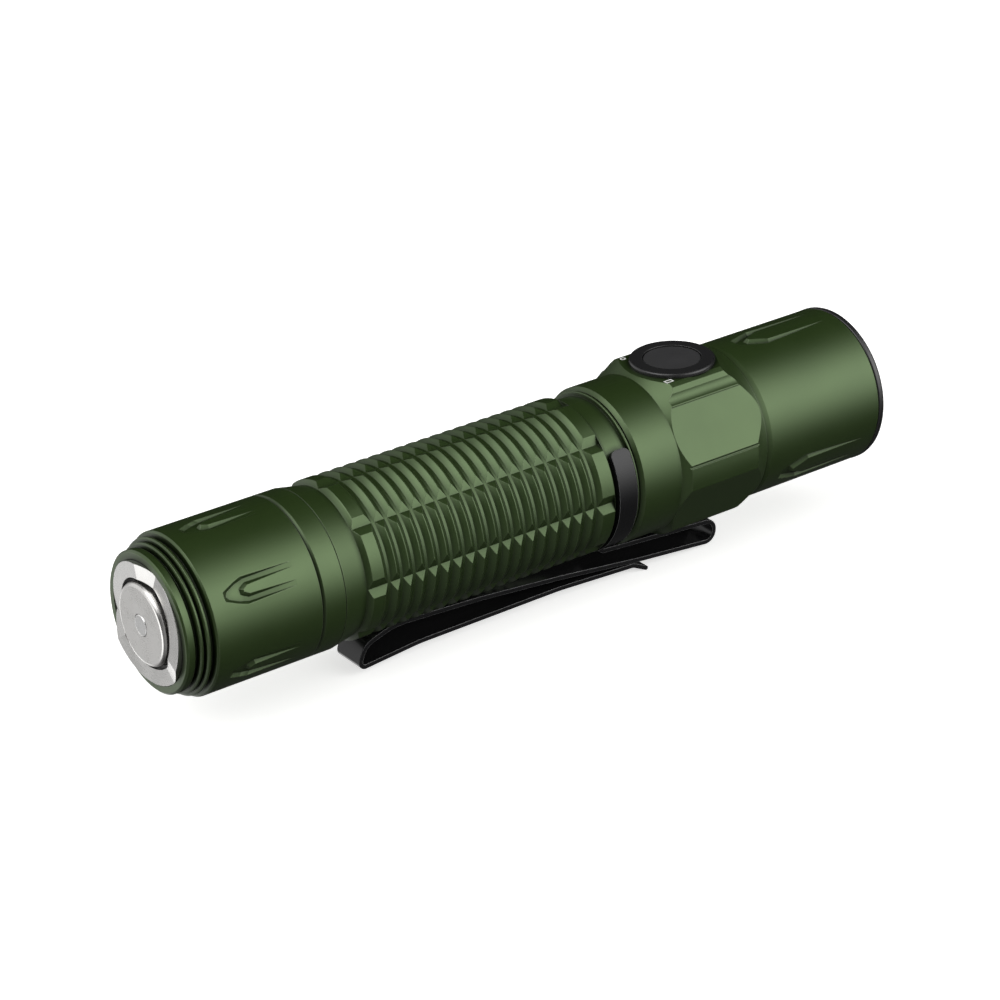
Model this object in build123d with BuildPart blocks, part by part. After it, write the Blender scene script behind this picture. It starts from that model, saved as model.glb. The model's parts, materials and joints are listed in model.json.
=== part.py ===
"""Tactical flashlight, 21700-cell class, as an assembly of separate pieces.

Frame: +X runs along the light from the tail button to the bezel, +Z points at the side
button, and the origin lies under the middle of the light, at the level of the clip's lowest
edge.  Every turned outline is a list of (station, radius) corners: stations count in mm from
the face of the tail button, radii from the light's axis.
"""
import os
from math import cos, radians, sin

from build123d import *

# Driving dimensions (mm)
LENGTH = 137.0              # tail contact to bezel face
BODY_R = 13.1               # grip and tail cap radius
AXIS_HEIGHT = 20.5          # light's axis above the clip's lowest edge

# Tail cap
CAP_FRONT = 28.25           # seam between tail cap and tube
THREAD_BORE_R = 11.8
CAP_THREAD_PITCH = 1.5
SEAL_BORE_R = 12.2

# Charging crown and tail button
RING_R = 9.94
RING_BORE_R = 7.35
CROWN_TOP = 0.3
CROWN_BASE = 1.42
CROWN_PEAKS = (95, -25, 215)
CROWN_SHORT_SPAN = 26       # degrees covered by the steep facet beside each peak
BUTTON_R = 6.7
TAIL_CONTACT_R = 1.75

# Tube grip
TUBE_BORE_R = 10.8
RIB_COUNT = 18
RIB_FIRST = 36.5
RIB_PITCH = 2.335
RIB_FLOOR_R = 12.45
RIB_FLOOR_HALF = 0.25
RIB_FLANK = 0.86
FLUTE_COUNT = 8
FLUTE_FLOOR_R = 12.45
FLUTE_HALF_WIDTH = 1.7
FLUTE_START = 32.6
FLUTE_END = 79.7

# Clip
CLIP_WIDTH = 6.2
CLIP_THICKNESS = 0.75
CLIP_RING_R = 13.2
CLIP_RING_BORE_R = 12.3
CLIP_RING_START = 80.6
CLIP_RING_WIDTH = 3.6
CLIP_RING_GAP = 108         # degrees left open at the top

# Head
HEAD_START = 85.0
HEAD_END = 135.7
NECK_R = 13.4
BARREL_R = 13.3
ROUND_R = 14.4              # rounded corners between the facets
FACET_DISTANCE = 13.45      # axis to facet
FACET_ANGLES = (30, -30, -90, -150, 150)
FACET_GROOVES = (           # angle, distance out and radius of each pair of round grooves
    (7.8, 14.5, 0.28),      # fine line below the upper facet
    (52.1, 16.2, 1.82),     # shallow cove between the upper facet and the top flat
)
ENVELOPE_R = 15.45          # turned limit of the faceted section
SPIGOT_BORE_R = 12.0
DRIVER_BORE_R = 11.5
OPTIC_BORE_R = 12.0
BEZEL_BORE_R = 12.55

# Relief motifs on the cap and the barrel
RELIEF_SLOPE = 42           # degrees that the channel walls lean
RELIEF_REACH = 1.4

# Raised flat and side button
FLAT_HEIGHT = 13.9
FLAT_HALF_WIDTH = 7.3
BUTTON_STATION = 102.0
SIDE_RING_R = 7.1
SIDE_BUTTON_R = 4.74
POCKET_R = 6.35
INDICATOR_STATION = 96.5
INDICATOR_OFFSET = 6.0

ROOT = Vector(-LENGTH / 2, 0, AXIS_HEIGHT)
SIDE = Plane(origin=ROOT, x_dir=(1, 0, 0), z_dir=(0, -1, 0))
LIGHT_AXIS = Axis(ROOT, (1, 0, 0))


def across(station):
    """Plane square to the light's axis at a station, +Y to the right and +Z up."""
    return Plane(origin=ROOT + Vector(station, 0, 0), x_dir=(0, 1, 0), z_dir=(1, 0, 0))


def level(station, height, y=0.0):
    """Horizontal plane a height above the light's axis."""
    return Plane(origin=ROOT + Vector(station, y, height))


def tangent(angle):
    """Plane through the axis facing outward at an angle: 0 faces -Y, 90 faces up."""
    outward = (0, -cos(radians(angle)), sin(radians(angle)))
    return Plane(origin=ROOT, x_dir=(1, 0, 0), z_dir=outward)


def turn(outline, mode=Mode.ADD, angle=360):
    """Revolve a closed (station, radius) outline about the light's axis."""
    with BuildSketch(SIDE) as profile:
        with BuildLine():
            Polyline(*outline, close=True)
        make_face()
    revolve(profile.sketch, axis=LIGHT_AXIS, revolution_arc=angle, mode=mode)


def ring(start, end, outer, inner=0.0, edge=0.0, mode=Mode.ADD):
    """Turned ring or disc with its outer edges broken by a small chamfer."""
    outline = [(start, inner), (start, outer), (end, outer), (end, inner)]
    if edge:
        outline[1:3] = [(start, outer - edge), (start + edge, outer),
                        (end - edge, outer), (end, outer - edge)]
    turn(outline, mode)


def torus_ring(station, radius, section, mode=Mode.ADD):
    """O-ring of round section."""
    with BuildSketch(SIDE) as profile:
        with Locations((station, radius)):
            Circle(section)
    revolve(profile.sketch, axis=LIGHT_AXIS, mode=mode)


def save(piece, name):
    """Label a finished piece and write its STEP file."""
    piece.label = name
    export_step(piece, f"parts/{name}.step")


# --- Relief motifs -------------------------------------------------------------------------

def mirrored(corners):
    """Closed outline from the (station, half width) corners of its upper half."""
    return corners + [(station, -half) for station, half in reversed(corners)]


def relief_cutters(angles, rim, island, radius, depth):
    """U channels round a tapered island, deepest at the nose and fading out along the legs.

    Rim and island list (station, half width) corners from the nose to the ends of the legs.
    The channel is shaped on top of the light and turned to each angle.
    """
    nose, shoulder, end = [station for station, half in rim]
    above = Plane(origin=ROOT + Vector(0, 0, radius + 0.05), x_dir=(1, 0, 0), z_dir=(0, 0, -1))
    with BuildPart() as cutter:
        with BuildSketch(above) as opening:
            with BuildLine():
                Polyline(*mirrored(rim), close=True)
            make_face()
        extrude(opening.sketch, amount=RELIEF_REACH, taper=RELIEF_SLOPE)
        with BuildSketch(above) as plug:
            with BuildLine():
                Polyline(*mirrored(island), close=True)
            make_face()
        extrude(plug.sketch, amount=RELIEF_REACH, taper=-RELIEF_SLOPE, mode=Mode.SUBTRACT)
        turn([(nose - 1, radius - depth), (shoulder, radius - depth), (end, radius + 0.03),
              (end, radius + 1), (nose - 1, radius + 1)], Mode.INTERSECT)
    return [cutter.part.rotate(LIGHT_AXIS, 90 - angle) for angle in angles]


# --- Tail cap and what it holds ------------------------------------------------------------

def make_tail_cap():
    outline = [
        (1.25, 10.0), (1.25, 11.05), (1.55, 11.4), (2.6, 11.4), (2.88, 11.15), (3.0, 10.9),
        (3.15, 10.9), (3.26, 11.7), (3.42, 11.95), (3.72, 11.95), (3.9, 11.75), (4.0, 11.5),
        (4.08, 11.5), (4.18, 12.25), (4.34, 12.5), (4.64, 12.5), (4.82, 12.3), (4.94, 11.85),
        (5.3, 11.85), (5.5, 12.8), (5.76, BODY_R), (24.0, BODY_R), (24.08, 12.75),
        (24.2, 12.75), (24.62, BODY_R),
        (CAP_FRONT - 0.06, BODY_R), (CAP_FRONT, BODY_R - 0.06),
        (CAP_FRONT, SEAL_BORE_R), (20.5, SEAL_BORE_R), (20.5, THREAD_BORE_R),
        (12.0, THREAD_BORE_R), (12.0, 10.6), (5.4, 10.6), (5.4, 8.2), (4.2, 8.2), (4.2, 10.0),
    ]
    rim = [(8.15, 0.75), (11.45, 2.35), (21.0, 2.0)]
    island = [(11.7, 0.15), (12.5, 0.6), (23.0, 1.05)]
    motifs = relief_cutters(range(-30, 330, 60), rim, island, BODY_R, 0.55)
    with BuildPart() as tail_cap:
        turn(outline)
        for motif in motifs:
            add(motif, mode=Mode.SUBTRACT)
    save(tail_cap.part, "tail_cap")


def crown_cutter(middle, half_span, rear_side, front_side):
    """Prism over one sector of the crown; its underside slopes between two stations."""
    facing = tangent(middle)
    width = RING_R * sin(radians(half_span))
    with BuildPart() as cutter:
        # local x runs around the ring, local y runs back along the axis
        with BuildSketch(Plane(origin=ROOT, x_dir=facing.y_dir, z_dir=facing.z_dir)) as slope:
            with BuildLine():
                Polyline((-width, -rear_side), (width, -front_side), (width, 2), (-width, 2),
                         close=True)
            make_face()
        extrude(slope.sketch, amount=RING_R + 1)
        with BuildSketch(across(-2)) as sector:
            corners = [(0, 0)]
            for swing in (-half_span, half_span):
                heading = radians(180 - middle - swing)
                corners.append((20 * cos(heading), 20 * sin(heading)))
            with BuildLine():
                Polyline(*corners, close=True)
            make_face()
        extrude(sector.sketch, amount=5, mode=Mode.INTERSECT)
    return cutter.part


def make_charge_ring():
    """Crown ring: three peaks, each with a short steep facet and a long gentle one."""
    cutters = []
    for peak in CROWN_PEAKS:
        short = CROWN_SHORT_SPAN / 2
        long = (120 - CROWN_SHORT_SPAN) / 2
        cutters.append(crown_cutter(peak - short, short, CROWN_BASE, CROWN_TOP))
        cutters.append(crown_cutter(peak + long, long, CROWN_TOP, CROWN_BASE))
    with BuildPart() as charge_ring:
        ring(CROWN_TOP - 0.1, 4.15, RING_R, RING_BORE_R)
        for cutter in cutters:
            add(cutter, mode=Mode.SUBTRACT)
    save(charge_ring.part, "charge_ring")


def make_tail_button():
    with BuildPart() as tail_button:
        turn([(0.08, 0), (0.08, 6.1), (0.16, 6.38), (0.33, 6.57), (0.6, BUTTON_R),
              (4.35, BUTTON_R), (4.35, 7.8), (5.0, 7.8), (5.0, 0)])
        ring(-1, 0.6, TAIL_CONTACT_R + 0.06, mode=Mode.SUBTRACT)
    save(tail_button.part, "tail_button")

    with BuildPart() as tail_button_contact:
        turn([(0, 0), (0, TAIL_CONTACT_R - 0.12), (0.12, TAIL_CONTACT_R),
              (0.6, TAIL_CONTACT_R), (0.6, 0)])
    save(tail_button_contact.part, "tail_button_contact")

    with BuildPart() as tail_insulator:
        ring(1.9, 4.15, RING_BORE_R - 0.01, 6.85)
    save(tail_insulator.part, "tail_insulator")


def make_tail_switch():
    with BuildPart() as tail_boot:
        turn([(5.45, 10.5), (5.45, 8.0), (6.45, 8.0), (6.45, 0), (7.05, 0), (7.05, 8.4),
              (6.05, 8.4), (6.05, 10.5)])
    save(tail_boot.part, "tail_boot")

    with BuildPart() as tail_magnet:
        ring(6.1, 8.2, 10.4, 8.7, 0.2)
    save(tail_magnet.part, "tail_magnet")

    with BuildPart() as tail_switch:
        turn([(7.1, 0), (7.1, 1.2), (7.5, 2.6), (8.25, 4.0), (8.25, 0)])
    save(tail_switch.part, "tail_switch")

    with BuildPart() as tail_board:
        ring(8.3, 9.3, 10.5)
    save(tail_board.part, "tail_board")

    with BuildPart() as tail_retainer:
        ring(9.35, 11.6, 10.55, 9.0, 0.2)
        with BuildSketch(across(9)) as notches:
            with PolarLocations(9.2, 2):
                Rectangle(1.6, 1.8)
        extrude(notches.sketch, amount=4, mode=Mode.SUBTRACT)
    save(tail_retainer.part, "tail_retainer")

    make_spring("tail_spring", 9.35, 14.35, 5.2, 0.4)


def make_spring(name, start, end, radius, wire):
    """Contact spring: three open turns of round wire."""
    height = end - start - 2 * wire
    with BuildPart() as spring:
        with BuildLine() as coil:
            Helix(pitch=height / 3, height=height, radius=radius,
                  center=ROOT + Vector(start + wire, 0, 0), direction=(1, 0, 0))
        with BuildSketch(Plane(origin=coil.line @ 0, z_dir=coil.line % 0)) as section:
            Circle(wire)
        sweep(section.sketch, path=coil.line, is_frenet=True)
    save(spring.part, name)


# --- Tube, seals and battery ---------------------------------------------------------------

def thread_outline(start, count, pitch, crest, root):
    """Corners of a run of turned thread ridges."""
    corners = []
    for turn_number in range(count):
        at = start + turn_number * pitch
        corners += [(at, root), (at + 0.3 * pitch, crest), (at + 0.5 * pitch, crest),
                    (at + 0.8 * pitch, root)]
    return corners


def rib_outline():
    """Corners of the turned grip: a row of valleys between sharp ridges."""
    corners = []
    for number in range(RIB_COUNT):
        centre = RIB_FIRST + number * RIB_PITCH
        corners += [(centre - RIB_FLOOR_HALF - RIB_FLANK, BODY_R),
                    (centre - RIB_FLOOR_HALF, RIB_FLOOR_R),
                    (centre + RIB_FLOOR_HALF, RIB_FLOOR_R),
                    (centre + RIB_FLOOR_HALF + RIB_FLANK, BODY_R)]
    return corners


def make_battery_tube():
    outline = [(13.0, TUBE_BORE_R), (13.0, 11.3)]
    outline += thread_outline(13.2, 5, CAP_THREAD_PITCH, 11.7, 11.3)
    outline += [
        (20.6, 11.3), (20.8, 12.05), (22.2, 12.05), (22.2, 11.35), (23.9, 11.35),
        (23.9, 12.05), (CAP_FRONT + 0.03, 12.05), (CAP_FRONT + 0.03, BODY_R - 0.06),
        (CAP_FRONT + 0.09, BODY_R), (32.5, 12.3), (33.15, BODY_R - 0.08), (33.25, BODY_R),
    ]
    outline += rib_outline()
    outline += [
        (79.68, BODY_R), (79.8, 12.98), (79.85, 12.15), (84.35, 12.15), (84.38, 12.8),
        (84.48, 12.9), (84.7, 12.9), (84.8, 12.8), (84.8, 11.9), (86.0, 11.9),
        (86.0, 11.25), (87.6, 11.25), (87.6, 11.9), (88.2, 11.9),
    ]
    outline += thread_outline(88.2, 4, 1.0, 11.9, 11.5)
    outline += [(92.3, 11.5), (92.3, TUBE_BORE_R)]
    with BuildPart() as battery_tube:
        turn(outline)
        for number in range(FLUTE_COUNT):
            with BuildSketch(across(FLUTE_START)) as flute:
                reach = BODY_R + 0.4 - FLUTE_FLOOR_R
                spread = FLUTE_HALF_WIDTH * reach / (BODY_R - FLUTE_FLOOR_R)
                with BuildLine():
                    Polyline((FLUTE_FLOOR_R, 0), (FLUTE_FLOOR_R + reach, spread),
                             (FLUTE_FLOOR_R + reach, -spread), close=True)
                make_face()
            turned_flute = flute.sketch.rotate(LIGHT_AXIS, 360 / FLUTE_COUNT * number)
            extrude(turned_flute, amount=FLUTE_END - FLUTE_START, dir=(1, 0, 0),
                    mode=Mode.SUBTRACT)
    save(battery_tube.part, "battery_tube")

    with BuildPart() as rear_oring:
        torus_ring(23.05, 11.77, 0.4)
    save(rear_oring.part, "rear_oring")

    with BuildPart() as front_oring:
        torus_ring(86.8, 11.62, 0.36)
    save(front_oring.part, "front_oring")


def make_battery():
    with BuildPart() as battery_cell:
        ring(14.5, 86.5, 10.6, edge=0.5)
    save(battery_cell.part, "battery_cell")

    with BuildPart() as battery_insulator:
        ring(86.55, 86.9, 10.2, 4.0)
    save(battery_insulator.part, "battery_insulator")

    with BuildPart() as battery_positive_cap:
        ring(86.55, 88.0, 3.6, edge=0.3)
    save(battery_positive_cap.part, "battery_positive_cap")


# --- Pocket clip ---------------------------------------------------------------------------

def make_pocket_clip():
    """One spring strip: C ring, run under the head, U bend, long arm, tail bend, outer leaf."""
    route = [
        ((81.4, -12.75), None), ((82.9, -12.75), 0.8), ((84.6, -14.08), 1.0),
        ((108.25, -15.93), 1.75), ((107.95, -19.62), 1.75), ((92.0, -18.1), 60),
        ((75.6, -16.05), 60), ((59.6, -14.45), 60), ((43.3, -13.46), 12),
        ((37.4, -15.3), 3.6), ((36.0, -19.05), 0.9), ((47.7, -18.05), 30),
        ((75.5, -18.0), 40), ((90.9, -18.83), 2.0), ((93.5, -20.12), None),
    ]
    points = [point for point, radius in route]
    radii = [radius for point, radius in route if radius is not None]
    with BuildPart() as pocket_clip:
        with BuildSketch(across(CLIP_RING_START)) as hoop:
            Circle(CLIP_RING_R)
            Circle(CLIP_RING_BORE_R, mode=Mode.SUBTRACT)
            half_gap = radians(CLIP_RING_GAP / 2)
            far = 30.0
            with BuildLine():
                Polyline((0, 0), (far * sin(half_gap), far * cos(half_gap)),
                         (-far * sin(half_gap), far * cos(half_gap)), close=True)
            make_face(mode=Mode.SUBTRACT)
        extrude(hoop.sketch, amount=CLIP_RING_WIDTH)
        straight = pocket_clip.edges().filter_by(GeomType.LINE)
        fillet(straight.group_by(SortBy.LENGTH)[0], 1.2)
        with BuildSketch(SIDE) as strip:
            with BuildLine():
                FilletPolyline(*points, radius=radii)
                offset(amount=CLIP_THICKNESS / 2, side=Side.BOTH)
            make_face()
        extrude(strip.sketch, amount=CLIP_WIDTH / 2, both=True)
    save(pocket_clip.part, "pocket_clip")


# --- Head ----------------------------------------------------------------------------------

def make_head_body():
    with BuildPart() as head_body:
        with BuildSketch(SIDE) as profile:
            with BuildLine():
                Polyline((HEAD_START, 0), (HEAD_START, NECK_R - 0.6),
                         (HEAD_START + 0.6, NECK_R), (93.1, NECK_R), (96.0, ENVELOPE_R),
                         (106.6, ENVELOPE_R))
                ThreePointArc((106.6, ENVELOPE_R), (108.05, 14.57), (111.0, 13.42))
                Polyline((111.0, 13.42), (111.12, 13.06), (111.4, 13.06), (112.3, BARREL_R),
                         (HEAD_END - 0.15, BARREL_R),
                         (HEAD_END, BARREL_R - 0.15), (HEAD_END, 0), (HEAD_START, 0))
            make_face()
        revolve(profile.sketch, axis=LIGHT_AXIS)
        with BuildSketch(across(HEAD_START)) as section:
            Circle(ROUND_R)
            for facet in FACET_ANGLES:
                outward = radians(180 - facet)
                far = FACET_DISTANCE + 5
                with Locations((far * cos(outward), far * sin(outward))):
                    Rectangle(10, 30, rotation=180 - facet, mode=Mode.SUBTRACT)
            with BuildLine():
                Polyline((-9.3, 11.0), (-FLAT_HALF_WIDTH, FLAT_HEIGHT),
                         (FLAT_HALF_WIDTH, FLAT_HEIGHT), (9.3, 11.0), (8.0, 4.0),
                         (-8.0, 4.0), close=True)
            make_face()
            with Locations((0, FLAT_HEIGHT + 5)):
                Rectangle(30, 10, mode=Mode.SUBTRACT)
            for angle, out, radius in FACET_GROOVES:
                for swing in (radians(angle), radians(180 - angle)):
                    with Locations((out * cos(swing), out * sin(swing))):
                        Circle(radius, mode=Mode.SUBTRACT)
        extrude(section.sketch, amount=HEAD_END - HEAD_START, mode=Mode.INTERSECT)
        turn([(HEAD_START - 1, 0), (HEAD_START - 1, SPIGOT_BORE_R), (92.6, SPIGOT_BORE_R),
              (92.6, DRIVER_BORE_R), (108.0, DRIVER_BORE_R), (108.0, 2.0), (112.0, 2.0),
              (112.0, OPTIC_BORE_R), (129.0, OPTIC_BORE_R), (129.0, BEZEL_BORE_R),
              (HEAD_END + 1, BEZEL_BORE_R), (HEAD_END + 1, 0)], Mode.SUBTRACT)
        with BuildSketch(level(BUTTON_STATION, 9.0)) as pocket:
            Circle(POCKET_R)
        extrude(pocket.sketch, amount=10, mode=Mode.SUBTRACT)
        with BuildSketch(level(0, FLAT_HEIGHT - 1.2)) as windows:
            with Locations((INDICATOR_STATION, INDICATOR_OFFSET)):
                Circle(0.5)
                Circle(0.24, mode=Mode.SUBTRACT)
            with Locations((INDICATOR_STATION, -INDICATOR_OFFSET)):
                Rectangle(1.5, 0.95)
                Rectangle(1.06, 0.51, mode=Mode.SUBTRACT)
        extrude(windows.sketch, amount=3, mode=Mode.SUBTRACT)
        rim = [(115.4, 1.3), (120.0, 3.2), (133.6, 2.25)]
        island = [(118.2, 0.25), (121.0, 1.65), (135.6, 1.8)]
        for motif in relief_cutters((90, -30, 210), rim, island, BARREL_R, 0.6):
            add(motif, mode=Mode.SUBTRACT)
    save(head_body.part, "head_body")


def make_indicators():
    with BuildPart() as brightness_indicator:
        with BuildSketch(level(INDICATOR_STATION, FLAT_HEIGHT - 1.15, INDICATOR_OFFSET)) as window:
            Circle(0.49)
            Circle(0.25, mode=Mode.SUBTRACT)
        extrude(window.sketch, amount=1.17)
    save(brightness_indicator.part, "brightness_indicator")

    with BuildPart() as battery_indicator:
        with BuildSketch(level(INDICATOR_STATION, FLAT_HEIGHT - 1.15, -INDICATOR_OFFSET)) as window:
            Rectangle(1.48, 0.93)
            Rectangle(1.08, 0.53, mode=Mode.SUBTRACT)
        extrude(window.sketch, amount=1.17)
    save(battery_indicator.part, "battery_indicator")


def make_side_button():
    """Rim, cap, sealing boot, switch and board, stacked down through the pocket."""
    with BuildPart() as side_button_ring:
        with BuildSketch(level(BUTTON_STATION, FLAT_HEIGHT)):
            Circle(SIDE_RING_R)
        extrude(amount=0.75)
        fillet(side_button_ring.edges().group_by(Axis.Z)[-1], 0.4)
        with BuildSketch(level(BUTTON_STATION, 12.3)):
            Circle(POCKET_R - 0.01)
        extrude(amount=FLAT_HEIGHT - 12.3)
        with BuildSketch(level(BUTTON_STATION, 12.0)):
            Circle(SIDE_BUTTON_R + 0.14)
        extrude(amount=4, mode=Mode.SUBTRACT)
    save(side_button_ring.part, "side_button_ring")

    with BuildPart() as side_button:
        with BuildSketch(level(BUTTON_STATION, 13.3)):
            Circle(SIDE_BUTTON_R)
        extrude(amount=1.2)
        fillet(side_button.edges().group_by(Axis.Z)[-1], 0.15)
    save(side_button.part, "side_button")

    with BuildPart() as side_button_boot:
        with BuildSketch(level(BUTTON_STATION, 11.75)):
            Circle(POCKET_R - 0.15)
        extrude(amount=0.5)
        with BuildSketch(level(BUTTON_STATION, 12.25)):
            Circle(1.4)
        extrude(amount=0.45)
    save(side_button_boot.part, "side_button_boot")

    with BuildPart() as side_switch:
        with BuildSketch(level(BUTTON_STATION, 11.0)):
            Rectangle(3.0, 2.6)
        extrude(amount=0.5)
        with BuildSketch(level(BUTTON_STATION, 11.5)):
            Circle(0.8)
        extrude(amount=0.2)
    save(side_switch.part, "side_switch")

    with BuildPart() as side_switch_board:
        with BuildSketch(level(BUTTON_STATION, 10.1)):
            Circle(5.6)
        extrude(amount=0.85)
    save(side_switch_board.part, "side_switch_board")


def make_driver():
    make_spring("front_contact_spring", 88.1, 94.4, 2.6, 0.35)

    with BuildPart() as driver_retainer:
        ring(92.7, 94.35, DRIVER_BORE_R - 0.05, 9.9, 0.15)
    save(driver_retainer.part, "driver_retainer")

    with BuildPart() as driver_board:
        ring(94.45, 96.05, DRIVER_BORE_R - 0.1)
    save(driver_board.part, "driver_board")

    with BuildPart() as driver_components:
        with BuildSketch(across(96.1)) as tall:
            with Locations((-4.2, -2.5)):
                Rectangle(6.0, 6.0)
        extrude(tall.sketch, amount=4.0)
        with BuildSketch(across(96.1)) as low:
            with Locations((4.0, -4.5)):
                Rectangle(4.4, 4.4)
            with GridLocations(2.4, 0, 3, 1):
                with Locations((2.5, 3.2)):
                    Rectangle(1.2, 2.0)
        extrude(low.sketch, amount=1.3)
    save(driver_components.part, "driver_components")


def make_light_source():
    with BuildPart() as led_board:
        ring(112.05, 113.6, 10.5)
    save(led_board.part, "led_board")

    with BuildPart() as led_emitter:
        with BuildSketch(across(113.65)) as package:
            Rectangle(3.6, 3.6)
        extrude(package.sketch, amount=0.5)
        with BuildSketch(across(114.15)) as die:
            RectangleRounded(2.4, 2.4, 0.3)
        extrude(die.sketch, amount=0.3)
    save(led_emitter.part, "led_emitter")

    with BuildPart() as led_gasket:
        ring(113.65, 114.65, 5.2, 2.7)
    save(led_gasket.part, "led_gasket")


def make_optics():
    focal = 1.59
    vertex = 113.29
    stations = [114.7, 118.0, 123.0, 128.0, 133.0]
    bowl = [(at, (4 * focal * (at - vertex)) ** 0.5) for at in stations]
    with BuildPart() as reflector:
        with BuildSketch(SIDE) as profile:
            with BuildLine():
                Spline(*bowl)
                Polyline(bowl[-1], (133.0, 11.85), (131.4, 11.85), (131.0, 11.6),
                         (121.0, 8.9), (114.7, 5.4), bowl[0])
            make_face()
        revolve(profile.sketch, axis=LIGHT_AXIS)
    save(reflector.part, "reflector")

    with BuildPart() as front_lens:
        ring(133.1, 135.3, 11.9, edge=0.2)
    save(front_lens.part, "front_lens")

    with BuildPart() as lens_oring:
        torus_ring(135.65, 11.55, 0.33)
    save(lens_oring.part, "lens_oring")

    with BuildPart() as bezel_ring:
        turn([(129.2, 12.05), (136.02, 12.05), (136.02, 11.1), (136.2, 10.95), (137.0, 11.7),
              (137.0, 12.85), (136.9, 13.1), (136.72, 13.27), (136.5, 13.35),
              (135.88, 13.35), (HEAD_END + 0.06, 13.25), (HEAD_END + 0.06, 12.5),
              (129.2, 12.5)])
    save(bezel_ring.part, "bezel_ring")


os.makedirs("parts", exist_ok=True)
make_tail_cap()
make_charge_ring()
make_tail_button()
make_tail_switch()
make_battery_tube()
make_battery()
make_pocket_clip()
make_head_body()
make_indicators()
make_side_button()
make_driver()
make_light_source()
make_optics()
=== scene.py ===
"""Looks, light and camera for the tactical flashlight.

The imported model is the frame: +X runs from the tail button to the bezel, +Z points at the side
button, and everything is in metres.  Each CAD node keeps its shape and gets a finished
procedural material.  Nothing but the floor, the light and the camera is added to it.
"""
import json
import math

import bpy
from mathutils import Matrix, Vector


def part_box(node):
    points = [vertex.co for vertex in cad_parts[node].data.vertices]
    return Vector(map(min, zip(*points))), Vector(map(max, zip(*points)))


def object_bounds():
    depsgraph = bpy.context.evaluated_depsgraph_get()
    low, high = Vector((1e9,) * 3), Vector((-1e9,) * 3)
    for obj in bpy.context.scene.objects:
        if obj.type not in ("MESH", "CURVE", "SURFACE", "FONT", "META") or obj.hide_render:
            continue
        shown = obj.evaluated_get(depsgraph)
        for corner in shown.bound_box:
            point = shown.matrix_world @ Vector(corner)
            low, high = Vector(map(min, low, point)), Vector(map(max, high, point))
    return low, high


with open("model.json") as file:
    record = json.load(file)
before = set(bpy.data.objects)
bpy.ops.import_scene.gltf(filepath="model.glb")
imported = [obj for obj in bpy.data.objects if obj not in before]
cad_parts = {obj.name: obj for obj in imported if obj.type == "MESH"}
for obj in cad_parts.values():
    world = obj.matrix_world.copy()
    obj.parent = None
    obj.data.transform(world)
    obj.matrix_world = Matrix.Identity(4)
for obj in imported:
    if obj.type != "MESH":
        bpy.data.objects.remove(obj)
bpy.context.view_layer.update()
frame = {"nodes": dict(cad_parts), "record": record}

MM = 0.001
tube_low, tube_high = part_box("battery_tube")
AXIS_Z = (tube_low.z + tube_high.z) / 2
TAIL_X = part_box("tail_button_contact")[0].x
HEAD_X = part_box("bezel_ring")[1].x
MIDDLE = Vector(((TAIL_X + HEAD_X) / 2, 0, AXIS_Z))
FLOOR_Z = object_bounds()[0].z
FLOOR_HALF_SIZE = 6.0

# Camera: angles in degrees, aim as an offset from the middle of the light
CAMERA_HEADING = 54.83
CAMERA_PITCH = -25.99
CAMERA_ROLL = -2.25
CAMERA_AIM = Vector((-1.5, 0.7, -0.6)) * MM
CAMERA_DISTANCE = 0.5184
CAMERA_LENS = 116.5


# --- Material graph helper -------------------------------------------------------------------

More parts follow.
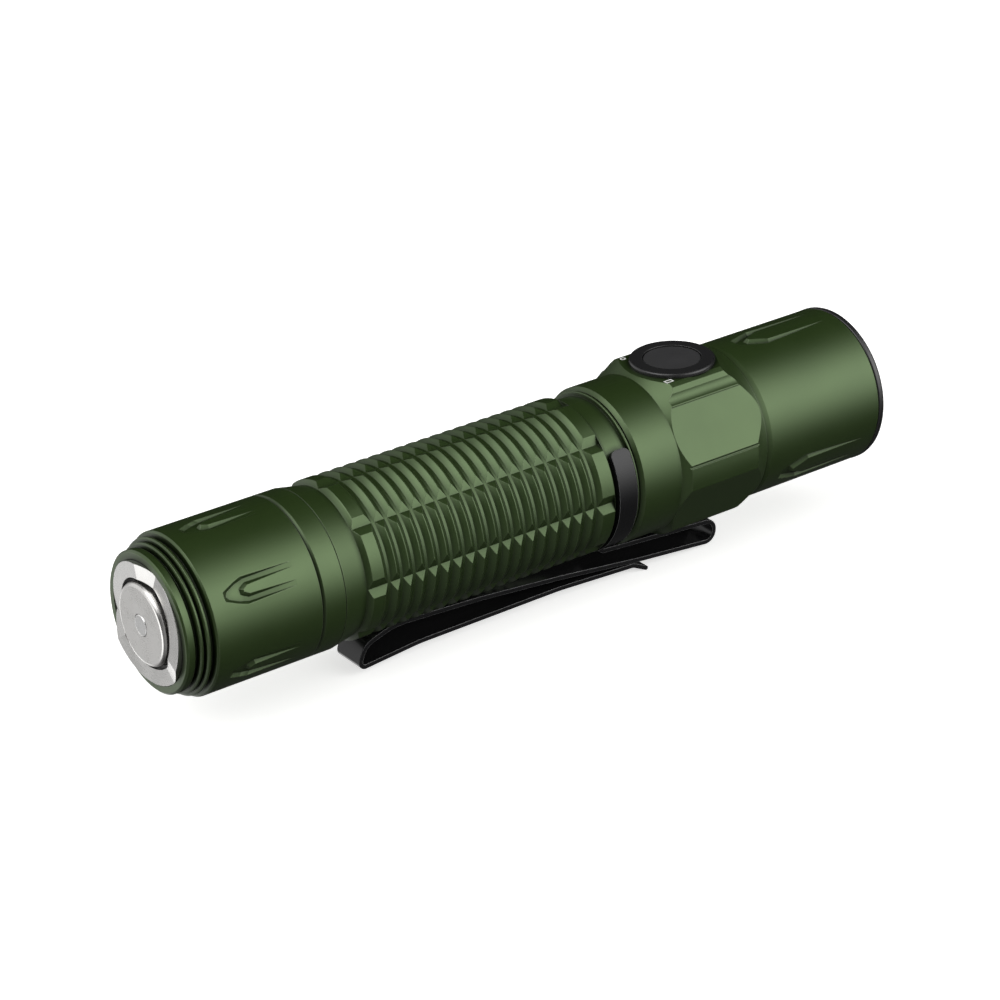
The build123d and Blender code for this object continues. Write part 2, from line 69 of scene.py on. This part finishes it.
class Graph:
    """One material's nodes, with short calls for the patterns that the finishes share."""

    # Sockets of a Mix node that is set to colours
    MIX_SHARE, MIX_FIRST, MIX_SECOND, MIX_RESULT = 0, 6, 7, 2

    def __init__(self, name):
        self.material = bpy.data.materials.new(name)
        self.material.use_nodes = True
        self.tree = self.material.node_tree
        self.shader = self.tree.nodes["Principled BSDF"]
        self.place = self.add("ShaderNodeTexCoord").outputs["Object"]

    def add(self, kind, values=None, **settings):
        made = self.tree.nodes.new(kind)
        for key, value in settings.items():
            setattr(made, key, value)
        self.fill(made, values or {})
        return made

    def fill(self, target, values):
        for socket, value in values.items():
            if isinstance(value, bpy.types.NodeSocket):
                self.tree.links.new(value, target.inputs[socket])
            else:
                target.inputs[socket].default_value = value

    def noise(self, scale, detail=3.0, roughness=0.55, place=None):
        made = self.add("ShaderNodeTexNoise", {"Vector": place or self.place, "Scale": scale,
                                               "Detail": detail, "Roughness": roughness})
        return made.outputs["Fac"]

    def spread(self, value, low, high):
        """Map a 0..1 pattern's middle range onto low..high."""
        made = self.add("ShaderNodeMapRange", {"Value": value, "From Min": 0.3,
                                               "From Max": 0.7, "To Min": low, "To Max": high})
        return made.outputs["Result"]

    def math(self, operation, first, second=0.0):
        made = self.add("ShaderNodeMath", operation=operation)
        self.fill(made, {0: first, 1: second})
        return made.outputs[0]

    def blend(self, share, first, second):
        made = self.add("ShaderNodeMix", data_type="RGBA")
        self.fill(made, {self.MIX_SHARE: share, self.MIX_FIRST: first, self.MIX_SECOND: second})
        return made.outputs[self.MIX_RESULT]

    def rounded(self, radius):
        """Normal that softens sharp edges."""
        return self.add("ShaderNodeBevel", {"Radius": radius}, samples=6).outputs["Normal"]

    def edge_mask(self, radius, gain):
        """1 along outer and inner edges, 0 on open faces."""
        soft = self.rounded(radius)
        hard = self.add("ShaderNodeNewGeometry").outputs["Normal"]
        facing = self.add("ShaderNodeVectorMath", {0: soft, 1: hard}, operation="DOT_PRODUCT")
        gap = self.math("SUBTRACT", 1.0, facing.outputs["Value"])
        made = self.add("ShaderNodeMath", operation="MULTIPLY", use_clamp=True)
        self.fill(made, {0: gap, 1: gain})
        return made.outputs[0]

    def crevice_shade_mask(self, distance, power):
        """1 on open faces, falling toward 0 deep in grooves and gaps; the mask for painted
        shade.
        """
        open_share = self.add("ShaderNodeAmbientOcclusion", {"Distance": distance}, samples=8)
        return self.math("POWER", open_share.outputs["AO"], power)

    def bump(self, height, distance, normal=None, strength=1.0):
        values = {"Height": height, "Distance": distance, "Strength": strength}
        if normal is not None:
            values["Normal"] = normal
        return self.add("ShaderNodeBump", values).outputs["Normal"]

    def radius_from_axis(self):
        """Distance from the light's axis, in metres."""
        apart = self.add("ShaderNodeSeparateXYZ", {"Vector": self.place})
        rise = self.math("SUBTRACT", apart.outputs["Z"], AXIS_Z)
        squares = self.math("ADD", self.math("POWER", apart.outputs["Y"], 2.0),
                            self.math("POWER", rise, 2.0))
        return self.math("SQRT", squares)

    def finish(self, **sockets):
        """Fill the shader's sockets, named with underscores for spaces."""
        self.fill(self.shader, {key.replace("_", " "): value for key, value in sockets.items()})
        return self.material


# --- Finishes --------------------------------------------------------------------------------

def anodised(name, deep, pale, roughness, wear_and_highlight_share):
    """Anodised aluminium: fine grain, cloudy dye, edges lightened as wear and painted highlight,
    painted shade in crevices.
    """
    g = Graph(name)
    cloud = g.spread(g.noise(45, 4), 0.0, 1.0)
    dye = g.blend(cloud, deep, pale)
    edges = g.edge_mask(0.0002, 3.0)
    scuffs = g.spread(g.noise(900, 5), 0.4, 1.0)
    crevice_shade = g.crevice_shade_mask(0.0012, 2.3)
    # Edges are blended toward pale grey-green: partly edge wear, partly a painted highlight,
    # kept out of crevices
    rubbed_and_highlit_edges = g.math("MULTIPLY", edges, scuffs)
    wear_and_highlight = g.math("MULTIPLY", rubbed_and_highlit_edges, g.math("MULTIPLY", crevice_shade, wear_and_highlight_share))
    dye_with_wear_and_highlight = g.blend(wear_and_highlight, dye, (0.30, 0.34, 0.25, 1))
    # Painted shade: the colour goes near black deep in grooves and gaps, and the coat thins
    # there as well
    colour = g.blend(crevice_shade, (0.002, 0.004, 0.001, 1), dye_with_wear_and_highlight)
    grain = g.noise(11000, 2)
    handled = g.noise(160, 4)
    rough = g.math("ADD", g.spread(handled, roughness - 0.03, roughness + 0.03),
                   g.spread(grain, -0.03, 0.03))
    normal = g.bump(grain, 0.000006, g.rounded(0.00013), 0.5)
    return g.finish(Base_Color=colour, Metallic=0.62, Roughness=rough, Normal=normal,
                    Coat_Weight=g.math("MULTIPLY", crevice_shade, 0.42), Coat_Roughness=roughness,
                    Coat_Normal=normal)


def turned_steel(name, tint, roughness):
    """Stainless steel with fine concentric turning marks."""
    g = Graph(name)
    radius = g.radius_from_axis()
    along_radius = g.add("ShaderNodeCombineXYZ", {"X": radius})
    lines = g.noise(16000, 3, place=along_radius.outputs[0])
    smear = g.noise(300, 4)
    rough = g.math("ADD", g.spread(lines, -0.04, 0.04),
                   g.spread(smear, roughness - 0.04, roughness + 0.05))
    colour = g.blend(g.spread(smear, 0.0, 0.5), tint, (0.52, 0.51, 0.50, 1))
    normal = g.bump(lines, 0.000004, g.rounded(0.00012), 0.5)
    return g.finish(Base_Color=colour, Metallic=1.0, Roughness=rough, Normal=normal)


def coated_steel(name):
    """Gloss black coating over spring steel: a little orange peel, edges painted grey as rubbed
    wear and painted highlight.
    """
    g = Graph(name)
    edges = g.edge_mask(0.00018, 3.0)
    rubs = g.spread(g.noise(700, 5), 0.5, 1.0)
    # Edges go grey: partly rubbed wear, partly a painted highlight
    wear_and_highlight = g.math("MULTIPLY", edges, rubs)
    colour = g.blend(wear_and_highlight, (0.009, 0.009, 0.0095, 1), (0.30, 0.30, 0.30, 1))
    peel = g.noise(1500, 2)
    rough = g.spread(g.noise(220, 4), 0.14, 0.22)
    normal = g.bump(peel, 0.00001, g.rounded(0.0002), 0.15)
    return g.finish(Base_Color=colour, Metallic=0.0, Roughness=rough, Normal=normal,
                    Specular_IOR_Level=0.30)


def black_metal(name, tone, roughness):
    """Black anodised trim with edges painted lighter grey as a painted highlight."""
    g = Graph(name)
    edges = g.edge_mask(0.0002, 1.5)
    # Painted highlight: edges are blended halfway toward pale grey
    colour = g.blend(g.math("MULTIPLY", edges, 0.5), (tone, tone, tone * 1.03, 1),
                     (0.16, 0.16, 0.16, 1))
    grain = g.noise(9000, 2)
    rough = g.spread(g.noise(260, 4), roughness - 0.05, roughness + 0.06)
    normal = g.bump(grain, 0.000005, g.rounded(0.00018), 0.5)
    return g.finish(Base_Color=colour, Metallic=0.0, Roughness=rough, Normal=normal)


def plain_plastic(name, colour, roughness, grain_size=6000):
    """Moulded plastic or rubber with a fine spark-eroded texture."""
    g = Graph(name)
    darker = tuple(0.8 * part for part in colour[:3]) + (1,)
    tone = g.blend(g.spread(g.noise(120, 3), 0.0, 1.0), colour, darker)
    grain = g.noise(grain_size, 2)
    rough = g.spread(grain, roughness - 0.06, roughness + 0.06)
    return g.finish(Base_Color=tone, Roughness=rough, Normal=g.bump(grain, 0.00001))


def soft_metal(name, colour, roughness, grain_size=5000):
    """Plated or cast metal on inner parts."""
    g = Graph(name)
    darker = tuple(0.75 * part for part in colour[:3]) + (1,)
    tone = g.blend(g.spread(g.noise(200, 4), 0.0, 1.0), colour, darker)
    rough = g.spread(g.noise(500, 4), roughness - 0.05, roughness + 0.08)
    normal = g.bump(g.noise(grain_size, 2), 0.000008, g.rounded(0.0001), 0.6)
    return g.finish(Base_Color=tone, Metallic=1.0, Roughness=rough, Normal=normal)


def coated_glass(name):
    """Clear lens with a faint cool coating."""
    g = Graph(name)
    dust = g.spread(g.noise(400, 5), 0.01, 0.05)
    return g.finish(Base_Color=(0.96, 0.98, 1.0, 1), Roughness=dust, IOR=1.5,
                    Transmission_Weight=1.0, Coat_Weight=0.4, Coat_Tint=(0.75, 0.8, 1.0, 1),
                    Coat_Roughness=0.02)


def solder_mask(name):
    """Circuit board: green mask with faint copper tracks under it."""
    g = Graph(name)
    cells = g.add("ShaderNodeTexVoronoi", {"Vector": g.place, "Scale": 700.0},
                  feature="DISTANCE_TO_EDGE")
    track = g.math("LESS_THAN", cells.outputs["Distance"], 0.08)
    colour = g.blend(g.math("MULTIPLY", track, 0.6), (0.012, 0.09, 0.035, 1),
                     (0.05, 0.20, 0.07, 1))
    rough = g.spread(g.noise(600, 3), 0.25, 0.4)
    return g.finish(Base_Color=colour, Roughness=rough, Normal=g.bump(track, 0.00002))


def phosphor(name):
    """Yellow emitter surface with a fine powder grain."""
    g = Graph(name)
    colour = g.blend(g.spread(g.noise(3000, 3), 0.0, 1.0), (0.85, 0.68, 0.10, 1),
                     (0.75, 0.55, 0.06, 1))
    return g.finish(Base_Color=colour, Roughness=0.55, Normal=g.bump(g.noise(8000), 0.00001))


FINISHES = {
    "green_anodised": anodised("green_anodised", (0.035, 0.068, 0.014, 1),
                               (0.041, 0.076, 0.017, 1), 0.35, 0.7),
    "bare_steel": turned_steel("bare_steel", (0.66, 0.65, 0.63, 1), 0.28),
    "black_anodised": black_metal("black_anodised", 0.014, 0.23),
    "black_spring_steel": coated_steel("black_spring_steel"),
    "black_plastic": plain_plastic("black_plastic", (0.02, 0.02, 0.021, 1), 0.5),
    "black_rubber": plain_plastic("black_rubber", (0.016, 0.016, 0.016, 1), 0.7, 3000),
    "white_plastic": plain_plastic("white_plastic", (0.80, 0.81, 0.78, 1), 0.35),
    "lens_glass": coated_glass("lens_glass"),
    "reflector_metal": soft_metal("reflector_metal", (0.88, 0.88, 0.88, 1), 0.16, 1800),
    "circuit_board": solder_mask("circuit_board"),
    "board_copper": soft_metal("board_copper", (0.72, 0.42, 0.24, 1), 0.4),
    "spring_brass": soft_metal("spring_brass", (0.78, 0.60, 0.28, 1), 0.25),
    "emitter_phosphor": phosphor("emitter_phosphor"),
    "battery_wrap": plain_plastic("battery_wrap", (0.03, 0.03, 0.034, 1), 0.3),
    "magnet_nickel": soft_metal("magnet_nickel", (0.62, 0.62, 0.60, 1), 0.2),
}

# Pieces that differ a little from the finish of their material slot
OWN_FINISH = {
    "side_button": black_metal("button_cap", 0.03, 0.42),
    "tail_button_contact": turned_steel("bright_contact", (0.97, 0.97, 0.96, 1), 0.16),
    "charge_ring": turned_steel("crown_steel", (0.56, 0.555, 0.54, 1), 0.24),
}

for part in frame["record"]["subparts"]:
    shown = frame["nodes"][part["node"]]
    finish = OWN_FINISH.get(part["node"], FINISHES[part["material_slot"]])
    shown.data.materials.clear()
    shown.data.materials.append(finish)


# --- Stage, light and camera -----------------------------------------------------------------

def make_floor():
    """Plain pale floor that the light neither mirrors nor picks up colour from."""
    half = FLOOR_HALF_SIZE
    mesh = bpy.data.meshes.new("floor")
    corners = [(x, y, FLOOR_Z) for x, y in ((-half, -half), (half, -half), (half, half),
                                            (-half, half))]
    mesh.from_pydata(corners, [], [(0, 1, 2, 3)])
    floor = bpy.data.objects.new("floor", mesh)
    bpy.context.scene.collection.objects.link(floor)
    g = Graph("floor")
    tone = g.blend(g.spread(g.noise(3), 0.0, 1.0), (0.80, 0.80, 0.79, 1), (0.82, 0.82, 0.81, 1))
    pale = g.finish(Base_Color=tone, Roughness=0.8, Emission_Color=(1, 1, 0.99, 1),
                    Emission_Strength=0.62)
    mesh.materials.append(pale)
    floor.visible_glossy = False
    floor.visible_diffuse = False


# Each soft glow: direction, cosine where it starts, falloff power, strength at its middle
WORLD_BASE = 0.01
WORLD_GLOWS = (
    ((0.518, -0.73, 0.45), 0.35, 3.8, 3.7),     # key, from the front and a little above
    ((-0.57, 0.0, 0.82), 0.78, 1.2, 3.8),       # overhead, behind the tail
    ((-0.52, 0.735, -0.44), 0.60, 0.8, 0.44),   # white backdrop that the tail face mirrors
    ((-0.52, -0.735, -0.44), 0.60, 0.8, 0.30),  # the same for views from the other side
    ((-0.60, 0.75, 0.30), 0.70, 1.0, 0.9),      # soft rim light from behind
    ((-0.82, 0.36, -0.44), 0.90, 1.0, 1.9),     # two cards that catch the crown's facets
    ((-0.01, 0.83, -0.56), 0.94, 1.0, 1.6),
    ((0.45, -0.20, -0.87), 0.30, 1.0, 0.04),    # pale table below
)


def make_world():
    """Studio surroundings made of soft glows."""
    world = bpy.data.worlds.new("studio")
    bpy.context.scene.world = world
    world.use_nodes = True
    tree = world.node_tree
    surface = tree.nodes["Background"]
    surface.inputs["Color"].default_value = (1.0, 1.0, 1.0, 1)
    heading = tree.nodes.new("ShaderNodeTexCoord").outputs["Generated"]

    def step(operation, first, second, clamp=False):
        made = tree.nodes.new("ShaderNodeMath")
        made.operation = operation
        made.use_clamp = clamp
        for slot, value in enumerate((first, second)):
            if isinstance(value, float):
                made.inputs[slot].default_value = value
            else:
                tree.links.new(value, made.inputs[slot])
        return made.outputs[0]

    total = WORLD_BASE
    for toward, start, power, strength in WORLD_GLOWS:
        facing = tree.nodes.new("ShaderNodeVectorMath")
        facing.operation = "DOT_PRODUCT"
        tree.links.new(heading, facing.inputs[0])
        facing.inputs[1].default_value = Vector(toward).normalized()
        rise = step("SUBTRACT", facing.outputs["Value"], start)
        share = step("DIVIDE", rise, 1.0 - start, clamp=True)
        glow = step("MULTIPLY", step("POWER", share, power), strength)
        total = step("ADD", glow, total)
    tree.links.new(total, surface.inputs["Strength"])


def make_camera():
    """Long lens from the tail's side, above and to the left of the light."""
    heading = math.radians(CAMERA_HEADING)
    pitch = math.radians(CAMERA_PITCH)
    roll = math.radians(CAMERA_ROLL)
    forward = Vector((math.cos(pitch) * math.cos(heading), math.cos(pitch) * math.sin(heading),
                      math.sin(pitch)))
    level = Vector((math.sin(heading), -math.cos(heading), 0))
    upward = level.cross(forward)
    right = level * math.cos(roll) + upward * math.sin(roll)
    upward = right.cross(forward)
    data = bpy.data.cameras.new("camera")
    data.lens = CAMERA_LENS
    data.sensor_width = 36.0
    data.clip_start = 0.01
    data.clip_end = 50.0
    camera = bpy.data.objects.new("camera", data)
    bpy.context.scene.collection.objects.link(camera)
    turned = Matrix((right, upward, -forward)).transposed()
    stand = MIDDLE + CAMERA_AIM - forward * CAMERA_DISTANCE
    camera.matrix_world = Matrix.Translation(stand) @ turned.to_4x4()
    bpy.context.scene.camera = camera


make_floor()
make_world()
make_camera()
bpy.context.scene.view_settings.view_transform = "Standard"
